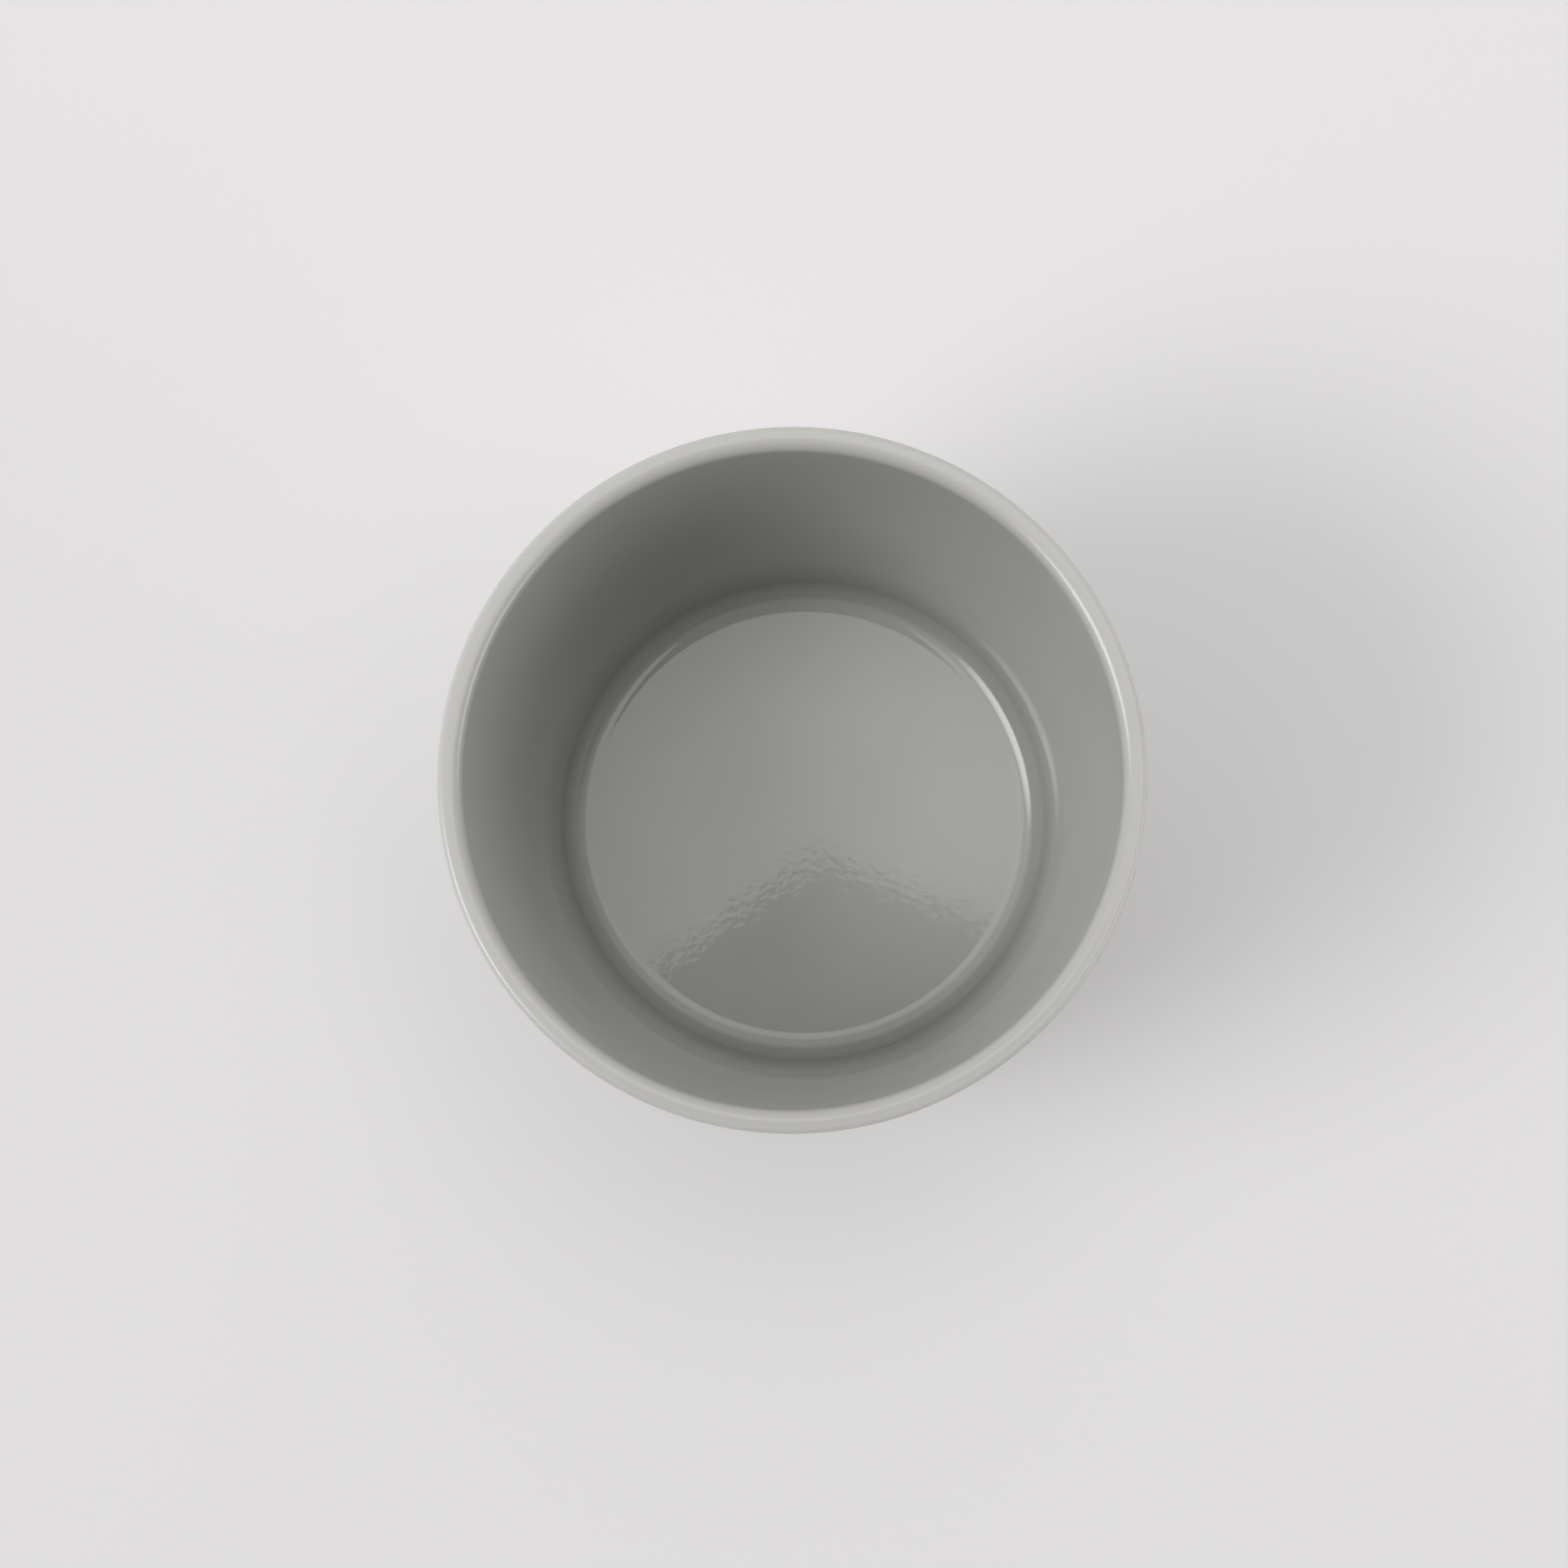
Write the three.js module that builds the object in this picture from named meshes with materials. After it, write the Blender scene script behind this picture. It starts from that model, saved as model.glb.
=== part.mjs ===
// A handleless tea cup of glazed porcelain, in the layers that it was made in: the fired clay body,
// the glaze coat that covers it inside and out, and the patch of glaze in the hollow of its base.
// The foot ring stays bare, because the cup stood on it in the kiln.
// Millimetres, +Z up. The origin is the middle of the foot ring's resting plane.
import * as THREE from 'three';

// Driving dimensions, at the glazed surface unless a line says otherwise
const RIM_DIAMETER = 80; // outside of the lip, the widest place
const HEIGHT = 57; // resting plane to the top of the lip
const WALL = 2.7; // square to the wall
const FLOOR = 4.7; // from the clay of the base's hollow to the flat floor
const WALL_LEAN_DEG = 10.2; // how far the wall leans out from upright
const LIP_OUTER_ROUNDING = 0.75; // the lip's outer edge
const LIP_INNER_ROUNDING = 1.5; // the lip's inner edge, a narrow flat away from the outer one
const FLOOR_FILLET = 4.5; // hollow curve that rises from the floor
const WALL_FILLET = 2.8; // tighter curve that carries it on into the wall
const FILLET_JOINT_DEG = 25; // slope at which the one curve goes over into the other
const BASE_ROUNDING = 3.2; // curve between the outside of the wall and the underside
const FOOT_HEIGHT = 1.6; // underside above the resting plane
const FOOT_UNDERCUT = 1.2; // foot ring set in from the end of the base rounding
const FOOT_WIDTH = 2.8; // bare clay, outside to inside of the ring
const FOOT_EDGE = 0.5; // rounding of the ring's lower edges
const HOLLOW_HEIGHT = 2.3; // bare clay of the base's hollow above the resting plane
const HOLLOW_FILLET = 0.8; // curve between the hollow and the foot ring
const GLAZE = 0.35; // glaze thickness
const GLAZE_BOND = 0.02; // gap between the clay and the glaze
const GLAZE_MARGIN = 0.5; // bare clay left beside the foot ring

// Facets around the cup and along each curve of its profile
const SEGMENTS = 64;
const BASE_STEPS = 6;
const LIP_STEPS = 5; // in each rounding of the lip
const FILLET_STEPS = 4; // in each of the two hollow curves
const EDGE_STEPS = 3;
const BEAD_STEPS = 4;

// The outside of the wall starts where the lip's outer rounding ends, and leans in towards the base
const LEAN = THREE.MathUtils.degToRad(WALL_LEAN_DEG);
const OUT = new THREE.Vector2(Math.cos(LEAN), -Math.sin(LEAN));
const DOWN = new THREE.Vector2(-Math.sin(LEAN), -Math.cos(LEAN));
const LIP_OUTER = new THREE.Vector2(RIM_DIAMETER / 2 - LIP_OUTER_ROUNDING, HEIGHT - LIP_OUTER_ROUNDING);
const FLOOR_Z = HOLLOW_HEIGHT + FLOOR;

// Point at height z on a line inside the wall's outer face, at a distance square to it
function insideFace(distance, z) {
  const start = LIP_OUTER.clone().addScaledVector(OUT, LIP_OUTER_ROUNDING - distance);
  return start.addScaledVector(DOWN, (start.y - z) / Math.cos(LEAN));
}

const LIP_INNER = insideFace(WALL - LIP_INNER_ROUNDING, HEIGHT - LIP_INNER_ROUNDING);
const BASE_CURVE = insideFace(BASE_ROUNDING, FOOT_HEIGHT + BASE_ROUNDING);
const FOOT_OUTER = BASE_CURVE.x - FOOT_UNDERCUT;
const FOOT_INNER = FOOT_OUTER - FOOT_WIDTH;

// The two hollow curves share a tangent where they meet
const JOINT = THREE.MathUtils.degToRad(FILLET_JOINT_DEG);
const CURVE_SHIFT = FLOOR_FILLET - WALL_FILLET;
const WALL_CURVE = insideFace(WALL + WALL_FILLET, FLOOR_Z + FLOOR_FILLET - CURVE_SHIFT * Math.cos(JOINT));
const FLOOR_CURVE = new THREE.Vector2(WALL_CURVE.x - CURVE_SHIFT * Math.sin(JOINT), FLOOR_Z + FLOOR_FILLET);

// Points of an arc, both ends included, with angles counted from the outward direction
function arc(centre, radius, fromDeg, toDeg, steps) {
  const points = [];
  for (let i = 0; i <= steps; i += 1) {
    const angle = THREE.MathUtils.degToRad(fromDeg + ((toDeg - fromDeg) * i) / steps);
    const spoke = new THREE.Vector2(Math.cos(angle), Math.sin(angle));
    points.push(centre.clone().addScaledVector(spoke, radius));
  }
  return points;
}

// The lip from the outside to the inside, with a point at its widest
function lip(depth) {
  const wallEnd = arc(LIP_OUTER, LIP_OUTER_ROUNDING - depth, -WALL_LEAN_DEG, 0, 1);
  return [
    wallEnd[0],
    ...arc(LIP_OUTER, LIP_OUTER_ROUNDING - depth, 0, 90, LIP_STEPS),
    ...arc(LIP_INNER, LIP_INNER_ROUNDING - depth, 90, 180 - WALL_LEAN_DEG, LIP_STEPS),
  ];
}

// The cup's surface at a depth below the glaze: from the underside beside the foot ring, up the
// outside, over the lip, down the inside and across the floor to the axis
function surface(depth, innerEnd) {
  return [
    new THREE.Vector2(innerEnd, FOOT_HEIGHT + depth),
    ...arc(BASE_CURVE, BASE_ROUNDING - depth, -90, -WALL_LEAN_DEG, BASE_STEPS),
    ...lip(depth),
    ...arc(WALL_CURVE, WALL_FILLET + depth, -WALL_LEAN_DEG, FILLET_JOINT_DEG - 90, FILLET_STEPS),
    ...arc(FLOOR_CURVE, FLOOR_FILLET + depth, FILLET_JOINT_DEG - 90, -90, FILLET_STEPS).slice(1),
    new THREE.Vector2(0, FLOOR_Z - depth),
  ];
}

// A body of revolution about the axis; the profile goes up its outer side
function revolve(name, profile, material) {
  const geometry = new THREE.LatheGeometry(profile, SEGMENTS);
  geometry.rotateX(Math.PI / 2);
  const mesh = new THREE.Mesh(geometry, material);
  mesh.name = name;
  return mesh;
}

const bisque = new THREE.MeshStandardMaterial({ color: 0xd6d1c5, roughness: 0.85, metalness: 0 });
const glaze = new THREE.MeshStandardMaterial({ color: 0xb4b5af, roughness: 0.25, metalness: 0 });
const baseGlaze = glaze.clone();

// Fired clay: the hollow of the base, the foot ring, then the whole surface under the glaze
const hollowEdge = new THREE.Vector2(FOOT_INNER - HOLLOW_FILLET, HOLLOW_HEIGHT - HOLLOW_FILLET);
const clayProfile = [
  new THREE.Vector2(0, HOLLOW_HEIGHT),
  ...arc(hollowEdge, HOLLOW_FILLET, 90, 0, EDGE_STEPS),
  ...arc(new THREE.Vector2(FOOT_INNER + FOOT_EDGE, FOOT_EDGE), FOOT_EDGE, 180, 270, EDGE_STEPS),
  ...arc(new THREE.Vector2(FOOT_OUTER - FOOT_EDGE, FOOT_EDGE), FOOT_EDGE, 270, 360, EDGE_STEPS),
  ...surface(GLAZE + GLAZE_BOND, FOOT_OUTER),
];

// Glaze coat: its face against the clay, the round edge where it stops beside the foot ring, and
// its outer face
const glazeEnd = FOOT_OUTER + GLAZE_MARGIN;
const coatBead = arc(new THREE.Vector2(glazeEnd, FOOT_HEIGHT + GLAZE / 2), GLAZE / 2, 90, 270, BEAD_STEPS);
const coatProfile = [
  ...surface(GLAZE, glazeEnd).reverse(),
  ...coatBead.slice(1, -1),
  ...surface(0, glazeEnd),
];

// Base glaze: a flat disc with a round edge in the hollow
const patchMiddle = HOLLOW_HEIGHT - GLAZE_BOND - GLAZE / 2;
const patchEdge = new THREE.Vector2(hollowEdge.x - GLAZE_MARGIN, patchMiddle);
const patchProfile = [
  new THREE.Vector2(0, patchMiddle - GLAZE / 2),
  ...arc(patchEdge, GLAZE / 2, -90, 90, BEAD_STEPS),
  new THREE.Vector2(0, patchMiddle + GLAZE / 2),
];

const cup = new THREE.Group();
cup.name = 'tea_cup';
cup.add(
  revolve('clay_body', clayProfile, bisque),
  revolve('glaze_coat', coatProfile, glaze),
  revolve('base_glaze', patchProfile, baseGlaze),
);

export default cup;
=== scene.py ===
# A glazed tea cup on a pale floor, seen from almost straight above.
# Metres, in the CAD model's frame: +Z up, the origin in the middle of the foot ring's resting plane.
import math

import bpy
from mathutils import Matrix, Vector


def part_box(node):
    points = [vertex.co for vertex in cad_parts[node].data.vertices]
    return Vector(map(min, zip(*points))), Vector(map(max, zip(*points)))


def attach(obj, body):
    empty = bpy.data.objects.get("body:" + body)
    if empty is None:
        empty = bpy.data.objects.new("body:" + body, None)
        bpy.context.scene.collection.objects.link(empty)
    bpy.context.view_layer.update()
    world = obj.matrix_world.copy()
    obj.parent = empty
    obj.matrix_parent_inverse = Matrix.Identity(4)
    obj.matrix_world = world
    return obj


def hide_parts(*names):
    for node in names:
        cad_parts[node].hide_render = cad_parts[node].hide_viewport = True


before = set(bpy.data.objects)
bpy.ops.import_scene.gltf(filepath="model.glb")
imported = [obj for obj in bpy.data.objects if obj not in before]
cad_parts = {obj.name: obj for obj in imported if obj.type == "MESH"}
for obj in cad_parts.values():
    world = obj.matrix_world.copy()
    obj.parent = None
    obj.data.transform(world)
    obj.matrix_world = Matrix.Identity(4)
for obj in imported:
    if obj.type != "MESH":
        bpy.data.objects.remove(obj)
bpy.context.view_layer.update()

MM = 0.001

# The cup's sizes, the same as the CAD model's
RIM_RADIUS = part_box("glaze_coat")[1][0]
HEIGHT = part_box("glaze_coat")[1][2]
WALL = 2.7 * MM
FLOOR = 4.7 * MM
LEAN = math.radians(10.2)
LIP_OUTER_ROUNDING = 0.75 * MM
LIP_INNER_ROUNDING = 1.5 * MM
FLOOR_FILLET = 4.5 * MM
WALL_FILLET = 2.8 * MM
FILLET_JOINT = math.radians(25)
BASE_ROUNDING = 3.2 * MM
FOOT_HEIGHT = 1.6 * MM
FOOT_UNDERCUT = 1.2 * MM
FOOT_WIDTH = 2.8 * MM
FOOT_EDGE = 0.5 * MM
HOLLOW_HEIGHT = 2.3 * MM
HOLLOW_FILLET = 0.8 * MM
GLAZE = 0.35 * MM
GLAZE_BOND = 0.02 * MM
GLAZE_MARGIN = 0.5 * MM

# Fineness of the meshes
ROUND_STEPS = 256
LIP_STEPS = 16
FILLET_STEPS = 20
BASE_STEPS = 20
WALL_STEPS = 10
EDGE_STEPS = 8
FLAT_MARGIN = 0.05 * MM
ON_AXIS = 1e-9  # a point nearer to the axis than this lies on it

# The glaze's colours, and the places where one gives way to the next
GLAZE_DARK = (0.410, 0.416, 0.386)
GLAZE_LIGHT = (0.430, 0.436, 0.407)
LIP_COLOUR = (0.490, 0.486, 0.446)
# Painted light on the lip's outer edge: a paler colour standing in for light bounced up from the floor
EDGE_PAINTED_LIGHT = (0.555, 0.550, 0.507)
CORNER_PAINTED_SHADE = 0.85  # of the glaze's colour: painted shade, darker in the inside corner where shade falls
CORNER_SHADE_START = (26.9 * MM, 27.6 * MM)  # radii, from the floor
CORNER_SHADE_END = (28.9 * MM, 30.4 * MM)  # radii, to the wall
CORNER_SHADE_BOTTOM = (5 * MM, 6 * MM)  # heights, above the base
LIP_START = (HEIGHT - 1.6 * MM, HEIGHT - 0.4 * MM)
EDGE_LIGHT_START = (RIM_RADIUS - 0.9 * MM, RIM_RADIUS - 0.3 * MM)

# The glaze's gloss, from the wall up to the lip, and its orange peel: features per metre and depth
GLOSS_START = (HEIGHT - 3 * MM, HEIGHT)
WALL_ROUGHNESS = 0.04
LIP_ROUGHNESS = 0.16
FINE_PEEL_SCALE = 1200.0
FINE_PEEL_DEPTH = 4e-6
BROAD_PEEL_SCALE = 120.0
BROAD_PEEL_DEPTH = 6e-6

# Bare clay: its colours and its grain
CLAY_DARK = (0.58, 0.54, 0.47)
CLAY_LIGHT = (0.70, 0.66, 0.585)
GRAIN_SCALE = 2600.0
GRAIN_DEPTH = 25e-6

QUARTER_TURN = math.pi / 2
LIP_OUTER = Vector((RIM_RADIUS - LIP_OUTER_ROUNDING, HEIGHT - LIP_OUTER_ROUNDING))
FLOOR_Z = HOLLOW_HEIGHT + FLOOR


def inside_face(distance, z):
    """The point at height z on a line inside the wall's outer face, at a distance square to it."""
    offset = LIP_OUTER_ROUNDING - distance
    x = LIP_OUTER.x + offset * math.cos(LEAN)
    drop = LIP_OUTER.y - offset * math.sin(LEAN) - z
    return Vector((x - drop * math.tan(LEAN), z))


LIP_INNER = inside_face(WALL - LIP_INNER_ROUNDING, HEIGHT - LIP_INNER_ROUNDING)
BASE_CURVE = inside_face(BASE_ROUNDING, FOOT_HEIGHT + BASE_ROUNDING)
FOOT_OUTER = BASE_CURVE.x - FOOT_UNDERCUT
FOOT_INNER = FOOT_OUTER - FOOT_WIDTH

# The two hollow curves of the inside corner share a tangent where they meet
CURVE_SHIFT = FLOOR_FILLET - WALL_FILLET
WALL_CURVE_Z = FLOOR_Z + FLOOR_FILLET - CURVE_SHIFT * math.cos(FILLET_JOINT)
WALL_CURVE = inside_face(WALL + WALL_FILLET, WALL_CURVE_Z)
FLOOR_CURVE = Vector((WALL_CURVE.x - CURVE_SHIFT * math.sin(FILLET_JOINT), FLOOR_Z + FLOOR_FILLET))


def arc(centre, radius, start, end, steps):
    """Points of an arc, both ends included; angles in radians from the outward direction."""
    points = []
    for i in range(steps + 1):
        angle = start + (end - start) * i / steps
        points.append(centre + radius * Vector((math.cos(angle), math.sin(angle))))
    return points


def between(start, end, steps):
    """Points of a straight line, without its ends."""
    return [start.lerp(end, i / steps) for i in range(1, steps)]


def flat(start_radius, end_radius, z):
    """Rings of a flat face, without its ends, with one close to each end so that it shades flat."""
    step = math.copysign(FLAT_MARGIN, end_radius - start_radius)
    first = Vector((start_radius + step, z))
    last = Vector((end_radius - step, z))
    return [first, *between(first, last, WALL_STEPS), last]


def lip(depth):
    """The lip, from the end of the outside wall over its narrow flat to the end of the inside wall."""
    outer = LIP_OUTER_ROUNDING - depth
    inner = LIP_INNER_ROUNDING - depth
    return [
        *arc(LIP_OUTER, outer, -LEAN, 0, 2),
        *arc(LIP_OUTER, outer, 0, QUARTER_TURN, LIP_STEPS)[1:],
        *arc(LIP_INNER, inner, QUARTER_TURN, math.pi - LEAN, LIP_STEPS),
    ]


def surface(depth, inner_end):
    """The cup's surface at a depth below the glaze, from the underside to the middle of the floor."""
    base = arc(BASE_CURVE, BASE_ROUNDING - depth, -QUARTER_TURN, -LEAN, BASE_STEPS)
    round_lip = lip(depth)
    joint = FILLET_JOINT - QUARTER_TURN
    wall_turn = arc(WALL_CURVE, WALL_FILLET + depth, -LEAN, joint, FILLET_STEPS)
    floor_turn = arc(FLOOR_CURVE, FLOOR_FILLET + depth, joint, -QUARTER_TURN, FILLET_STEPS)
    floor_z = FLOOR_Z - depth
    return [
        Vector((inner_end, FOOT_HEIGHT + depth)),
        *base,
        *between(base[-1], round_lip[0], WALL_STEPS),
        *round_lip,
        *between(round_lip[-1], wall_turn[0], WALL_STEPS),
        *wall_turn,
        *floor_turn[1:],
        *flat(FLOOR_CURVE.x, 0, floor_z),
        Vector((0, floor_z)),
    ]


def revolve(name, profile, material):
    """A closed body of revolution about +Z, whose profile goes up its outer side."""
    verts = []
    rings = []
    for point in profile:
        if point.x < ON_AXIS:
            rings.append([len(verts)])
            verts.append((0.0, 0.0, point.y))
            continue
        ring = []
        for j in range(ROUND_STEPS):
            angle = 2 * math.pi * j / ROUND_STEPS
            ring.append(len(verts))
            verts.append((point.x * math.cos(angle), point.x * math.sin(angle), point.y))
        rings.append(ring)
    faces = []
    for low, high in zip(rings, rings[1:]):
        for j in range(ROUND_STEPS):
            k = (j + 1) % ROUND_STEPS
            if len(low) == 1:
                faces.append((low[0], high[k], high[j]))
            elif len(high) == 1:
                faces.append((low[j], low[k], high[0]))
            else:
                faces.append((low[j], low[k], high[k], high[j]))
    mesh = bpy.data.meshes.new(name)
    mesh.from_pydata(verts, [], faces)
    mesh.polygons.foreach_set("use_smooth", [True] * len(faces))
    mesh.materials.append(material)
    mesh.update()
    obj = bpy.data.objects.new(name, mesh)
    bpy.context.scene.collection.objects.link(obj)
    return obj


class Nodes:
    """Adds and links the nodes of one tree."""

    def __init__(self, tree):
        self.tree = tree

    def add(self, kind, **settings):
        node = self.tree.nodes.new(kind)
        for key, value in settings.items():
            setattr(node, key, value)
        return node

    def link(self, output, target):
        self.tree.links.new(output, target)

    def noise(self, coords, scale, detail=2.0):
        node = self.add("ShaderNodeTexNoise")
        node.inputs["Scale"].default_value = scale
        node.inputs["Detail"].default_value = detail
        self.link(coords, node.inputs["Vector"])
        return node.outputs["Fac"]

    def ramp(self, value, low, high, out_low, out_high):
        node = self.add("ShaderNodeMapRange", interpolation_type="SMOOTHSTEP")
        node.inputs["From Min"].default_value = low
        node.inputs["From Max"].default_value = high
        node.inputs["To Min"].default_value = out_low
        node.inputs["To Max"].default_value = out_high
        self.link(value, node.inputs["Value"])
        return node.outputs["Result"]

    def mix(self, factor, first, second):
        """From one colour to another; each is a plain one or a node's output."""
        node = self.add("ShaderNodeMix", data_type="RGBA")
        self.link(factor, node.inputs["Factor"])
        for name, colour in (("A", first), ("B", second)):
            if isinstance(colour, tuple):
                node.inputs[name].default_value = (*colour, 1)
            else:
                self.link(colour, node.inputs[name])
        return node.outputs["Result"]

    def vector_math(self, operation, first, second=(0.0, 0.0, 0.0)):
        node = self.add("ShaderNodeVectorMath", operation=operation)
        self.link(first, node.inputs[0])
        node.inputs[1].default_value = second
        return node.outputs["Value" if operation in ("LENGTH", "DOT_PRODUCT") else "Vector"]

    def math(self, operation, first, second):
        node = self.add("ShaderNodeMath", operation=operation)
        self.link(first, node.inputs[0])
        self.link(second, node.inputs[1])
        return node.outputs["Value"]

    def bump(self, height, distance, normal=None):
        node = self.add("ShaderNodeBump")
        node.inputs["Strength"].default_value = 1.0
        node.inputs["Distance"].default_value = distance
        self.link(height, node.inputs["Height"])
        if normal is not None:
            self.link(normal, node.inputs["Normal"])
        return node.outputs["Normal"]


def new_material(name):
    """A new node material with its node helper and its shader."""
    material = bpy.data.materials.new(name)
    material.use_nodes = True
    return material, Nodes(material.node_tree), material.node_tree.nodes["Principled BSDF"]


def glaze_material():
    """Pale grey-green glaze with painted shade in the inside corner, softer and paler over the lip, and
    painted light on the lip's outer edge.
    """
    material, nodes, shader = new_material("glaze")
    coords = nodes.add("ShaderNodeTexCoord").outputs["Object"]
    height = nodes.vector_math("DOT_PRODUCT", coords, (0.0, 0.0, 1.0))
    radius = nodes.vector_math("LENGTH", nodes.vector_math("MULTIPLY", coords, (1.0, 1.0, 0.0)))
    cloud = nodes.ramp(nodes.noise(coords, 60.0, 3.0), 0.3, 0.7, 0, 1)
    colour = nodes.mix(cloud, GLAZE_DARK, GLAZE_LIGHT)

    # Painted shade: only the corner of the inside is darker, not the floor, not the wall above, not the
    # base
    in_from_floor = nodes.ramp(radius, *CORNER_SHADE_START, 1, CORNER_PAINTED_SHADE)
    out_to_wall = nodes.ramp(radius, *CORNER_SHADE_END, CORNER_PAINTED_SHADE, 1)
    above_base = nodes.ramp(height, *CORNER_SHADE_BOTTOM, 1, CORNER_PAINTED_SHADE)
    corner_shade = nodes.math("MAXIMUM", nodes.math("MAXIMUM", in_from_floor, out_to_wall), above_base)
    shade = nodes.add("ShaderNodeVectorMath", operation="SCALE")
    nodes.link(colour, shade.inputs["Vector"])
    nodes.link(corner_shade, shade.inputs["Scale"])
    lip_part = nodes.ramp(height, *LIP_START, 0, 1)
    colour = nodes.mix(lip_part, shade.outputs["Vector"], LIP_COLOUR)

    # Painted light: the lip's outer edge is made paler, standing in for light bounced up from the floor
    edge_light = nodes.ramp(radius, *EDGE_LIGHT_START, 0, 1)
    colour = nodes.mix(edge_light, colour, EDGE_PAINTED_LIGHT)
    nodes.link(colour, shader.inputs["Base Color"])
    roughness = nodes.ramp(height, *GLOSS_START, WALL_ROUGHNESS, LIP_ROUGHNESS)
    nodes.link(roughness, shader.inputs["Roughness"])

    fine_peel = nodes.bump(nodes.noise(coords, FINE_PEEL_SCALE, 1.0), FINE_PEEL_DEPTH)
    peel = nodes.bump(nodes.noise(coords, BROAD_PEEL_SCALE), BROAD_PEEL_DEPTH, fine_peel)
    nodes.link(peel, shader.inputs["Normal"])
    return material


def bisque_material():
    """Bare fired clay: warm, matte and finely grained."""
    material, nodes, shader = new_material("bisque")
    coords = nodes.add("ShaderNodeTexCoord").outputs["Object"]
    grain = nodes.noise(coords, GRAIN_SCALE, 4.0)
    colour = nodes.mix(nodes.ramp(grain, 0.3, 0.75, 0, 1), CLAY_DARK, CLAY_LIGHT)
    nodes.link(colour, shader.inputs["Base Color"])
    nodes.link(nodes.ramp(nodes.noise(coords, 300.0), 0.3, 0.7, 0.78, 0.92), shader.inputs["Roughness"])
    nodes.link(nodes.bump(grain, GRAIN_DEPTH), shader.inputs["Normal"])
    return material


GLAZE_LOOK = glaze_material()
BISQUE_LOOK = bisque_material()

# Clay: the hollow of the base, the foot ring, then the whole surface under the glaze
hollow_edge = Vector((FOOT_INNER - HOLLOW_FILLET, HOLLOW_HEIGHT - HOLLOW_FILLET))
clay_depth = GLAZE + GLAZE_BOND
inner_edge = Vector((FOOT_INNER + FOOT_EDGE, FOOT_EDGE))
outer_edge = Vector((FOOT_OUTER - FOOT_EDGE, FOOT_EDGE))
ring_inside = arc(inner_edge, FOOT_EDGE, math.pi, 3 * QUARTER_TURN, EDGE_STEPS)
ring_outside = arc(outer_edge, FOOT_EDGE, -QUARTER_TURN, 0, EDGE_STEPS)
clay_profile = [
    Vector((0, HOLLOW_HEIGHT)),
    *flat(0, hollow_edge.x, HOLLOW_HEIGHT),
    *arc(hollow_edge, HOLLOW_FILLET, QUARTER_TURN, 0, EDGE_STEPS),
    *ring_inside,
    *flat(inner_edge.x, outer_edge.x, 0),
    *ring_outside,
    *surface(clay_depth, FOOT_OUTER),
]
bisque_body = revolve("bisque_body", clay_profile, BISQUE_LOOK)

# Glaze coat: its face against the clay, its round edge beside the foot ring, its outer face
glaze_end = FOOT_OUTER + GLAZE_MARGIN
bead_centre = Vector((glaze_end, FOOT_HEIGHT + GLAZE / 2))
bead = arc(bead_centre, GLAZE / 2, QUARTER_TURN, 3 * QUARTER_TURN, EDGE_STEPS)
glaze_profile = [*reversed(surface(GLAZE, glaze_end)), *bead[1:-1], *surface(0, glaze_end)]
glaze_skin = revolve("glaze_skin", glaze_profile, GLAZE_LOOK)

# Base glaze: a flat disc with a round edge in the hollow
patch_top = HOLLOW_HEIGHT - GLAZE_BOND
patch_edge = Vector((hollow_edge.x - GLAZE_MARGIN, patch_top - GLAZE / 2))
patch_profile = [
    Vector((0, patch_top - GLAZE)),
    *flat(0, patch_edge.x, patch_top - GLAZE),
    *arc(patch_edge, GLAZE / 2, -QUARTER_TURN, QUARTER_TURN, EDGE_STEPS),
    *flat(patch_edge.x, 0, patch_top),
    Vector((0, patch_top)),
]
base_glaze_skin = revolve("base_glaze_skin", patch_profile, GLAZE_LOOK)

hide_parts("clay_body")
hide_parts("glaze_coat")
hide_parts("base_glaze")
for piece, slot_name in ((bisque_body, "bisque"), (glaze_skin, "glaze"), (base_glaze_skin, "glaze")):
    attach(piece, "root")


def floor_material():
    """Pale cloth white, with a faint glow that keeps the shadows on it light."""
    material, _, shader = new_material("pale floor")
    shader.inputs["Base Color"].default_value = (0.55, 0.535, 0.53, 1)
    shader.inputs["Roughness"].default_value = 0.9
    shader.inputs["Emission Color"].default_value = (0.98, 0.98, 0.96, 1)
    shader.inputs["Emission Strength"].default_value = 0.231
    return material


def card_material():
    """Dark matte grey, with a faint glow."""
    material, _, shader = new_material("dark card")
    shader.inputs["Base Color"].default_value = (0.05, 0.05, 0.05, 1)
    shader.inputs["Roughness"].default_value = 0.9
    shader.inputs["Emission Color"].default_value = (1.0, 0.99, 0.98, 1)
    shader.inputs["Emission Strength"].default_value = 0.25
    return material


def stage_sheet(name, outline, z, material):
    """A flat sheet under or above the object, which isn't part of it."""
    mesh = bpy.data.meshes.new(name)
    mesh.from_pydata([(x, y, z) for x, y in outline], [], [tuple(range(len(outline)))])
    mesh.materials.append(material)
    obj = bpy.data.objects.new(name, mesh)
    bpy.context.scene.collection.objects.link(obj)


def direction(azimuth_deg, elevation_deg):
    """A unit vector: azimuth from +X towards +Y, elevation above the floor."""
    azimuth = math.radians(azimuth_deg)
    elevation = math.radians(elevation_deg)
    level = math.cos(elevation)
    return (level * math.cos(azimuth), level * math.sin(azimuth), math.sin(elevation))


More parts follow.
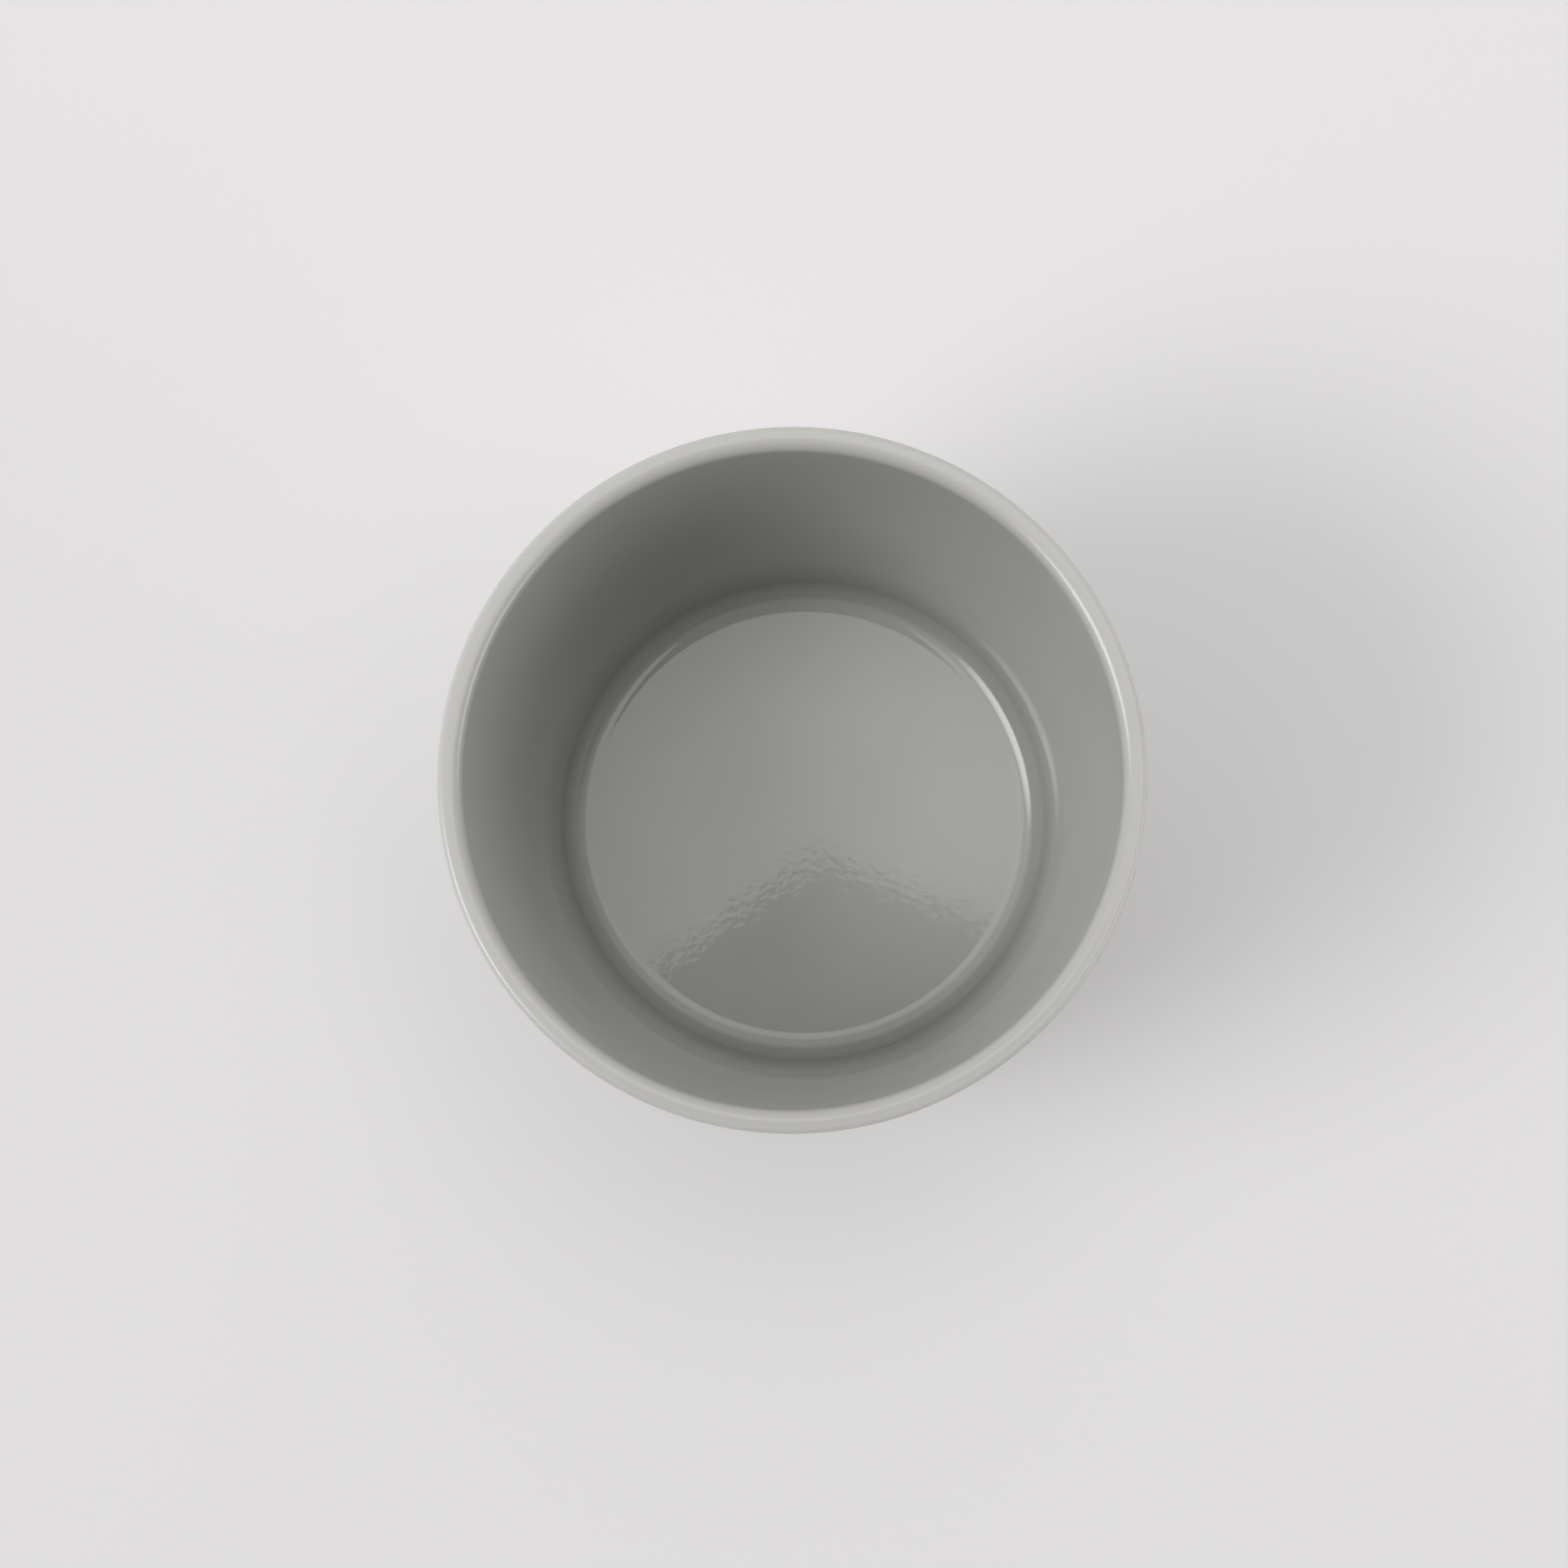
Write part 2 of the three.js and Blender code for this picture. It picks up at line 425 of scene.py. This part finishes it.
def soft_room(patches):
    """A room that is all soft light: patches of brightness that fade into one another."""
    world = bpy.data.worlds.new("soft room")
    world.use_nodes = True
    nodes = Nodes(world.node_tree)
    view = nodes.add("ShaderNodeTexCoord").outputs["Generated"]
    strength = world.node_tree.nodes["Background"].inputs["Strength"]
    total = None
    for azimuth, elevation, full_deg, end_deg, radiance in patches:
        nearness = nodes.vector_math("DOT_PRODUCT", view, direction(azimuth, elevation))
        end = math.cos(math.radians(end_deg))
        full = math.cos(math.radians(full_deg))
        patch = nodes.ramp(nearness, end, full, 0, radiance)
        total = patch if total is None else nodes.math("ADD", total, patch)
    nodes.link(total, strength)
    world.node_tree.nodes["Background"].inputs["Color"].default_value = (1.0, 0.995, 1.025, 1)
    bpy.context.scene.world = world


FLOOR_HALF = 3.0
FLOOR_DROP = 0.02 * MM  # keeps the floor clear of the foot ring
FLOOR_OUTLINE = [
    (-FLOOR_HALF, -FLOOR_HALF),
    (FLOOR_HALF, -FLOOR_HALF),
    (FLOOR_HALF, FLOOR_HALF),
    (-FLOOR_HALF, FLOOR_HALF),
]
stage_sheet("stage_floor", FLOOR_OUTLINE, -FLOOR_DROP, floor_material())

# A dark card above the camera, whose reflection darkens the near part of the cup's glossy floor
CARD_HEIGHT = 0.80
CARD_OUTLINE = [
    (-0.30, -0.50),
    (0.30, -0.50),
    (0.10, 0.02),
    (0.02, 0.055),
    (-0.02, 0.07),
    (-0.07, 0.035),
    (-0.12, -0.02),
]
stage_sheet("stage_card", CARD_OUTLINE, CARD_HEIGHT, card_material())

# Patches of the room's light: azimuth and elevation of the middle, the angle from it up to which the
# patch is full, the angle at which it ends, and its radiance
SKY_PATCHES = (
    (195, 45, 0, 20, 7.5),  # window on the left
    (0, 90, 20, 30, 1.5),  # lamp on the ceiling
    (65, 55, 5, 25, 0.3),  # faint second window behind
    (345, 0, 0, 35, 3.5),  # low light from the right
    (115, 15, 90, 105, 0.55),  # the rest of the room
)
soft_room(SKY_PATCHES)

# The camera looks down from a little to the right and in front, with +Y at the top of the picture
CAMERA = Vector((21.3, -73.1, 738.1)) * MM
LOOK_AT = Vector((-0.85, -0.72, 57.0)) * MM
camera_data = bpy.data.cameras.new("camera")
camera_data.lens = 140
camera_data.sensor_width = 36
camera_data.clip_start = 0.01
camera = bpy.data.objects.new("camera", camera_data)
bpy.context.scene.collection.objects.link(camera)
forward = (LOOK_AT - CAMERA).normalized()
right = forward.cross(Vector((0, 1, 0))).normalized()
up = right.cross(forward)
camera.matrix_world = Matrix.Translation(CAMERA) @ Matrix((right, up, -forward)).transposed().to_4x4()
bpy.context.scene.camera = camera
bpy.context.scene.view_settings.view_transform = "Standard"
